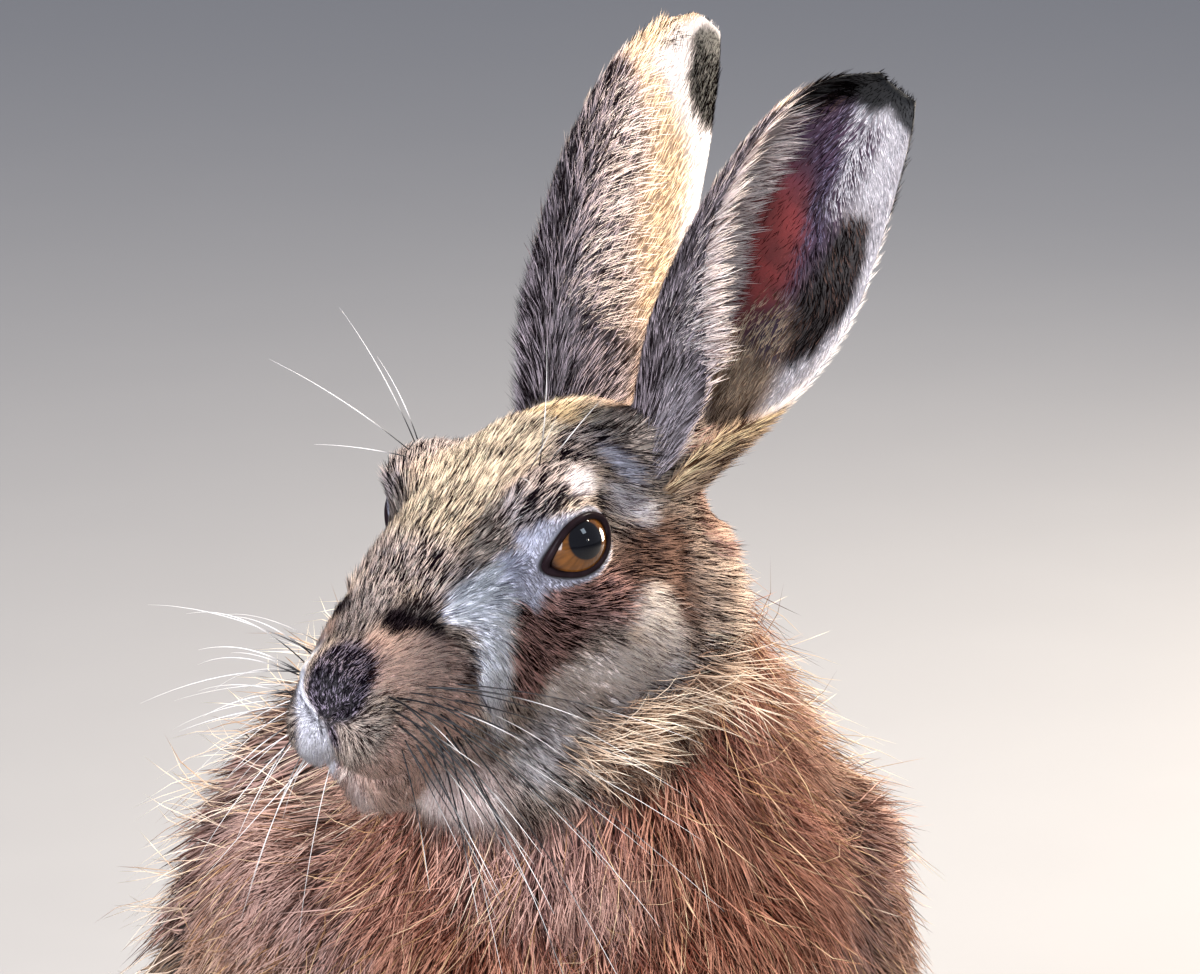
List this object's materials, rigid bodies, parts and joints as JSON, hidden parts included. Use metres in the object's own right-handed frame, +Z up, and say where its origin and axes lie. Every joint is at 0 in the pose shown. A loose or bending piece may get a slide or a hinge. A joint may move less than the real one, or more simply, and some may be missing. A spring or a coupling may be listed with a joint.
{
  "type": "brown hare model",
  "caption": "Life-size model of a sitting brown hare with upright ears and its head turned to its right.",
  "frame": {"origin": "on the ground, under the middle of the model's box", "axes": "+Z up; the hare's body faces -Y; its left side is +X"},
  "size_m": [0.2196, 0.3498, 0.3813],
  "materials": {
    "grizzled_coat": "dense grizzled fur",
    "rufous_coat": "soft red-brown fur",
    "ear_coat": "short velvety fur",
    "tail_coat": "white fur with a black upper side",
    "eye": "wet gloss"
  },
  "bodies": {
    "root": {"head": "grizzled_coat", "neck": "rufous_coat", "torso": "grizzled_coat", "tail": "tail_coat", "foreleg_left": "rufous_coat", "foreleg_right": "rufous_coat", "forepaw_left": "rufous_coat", "forepaw_right": "rufous_coat", "hindleg_left": "grizzled_coat", "hindleg_right": "grizzled_coat", "hindfoot_left": "grizzled_coat", "hindfoot_right": "grizzled_coat", "ear_left": "ear_coat", "ear_right": "ear_coat", "eye_left": "eye", "eye_right": "eye"}
  },
  "joints": []
}
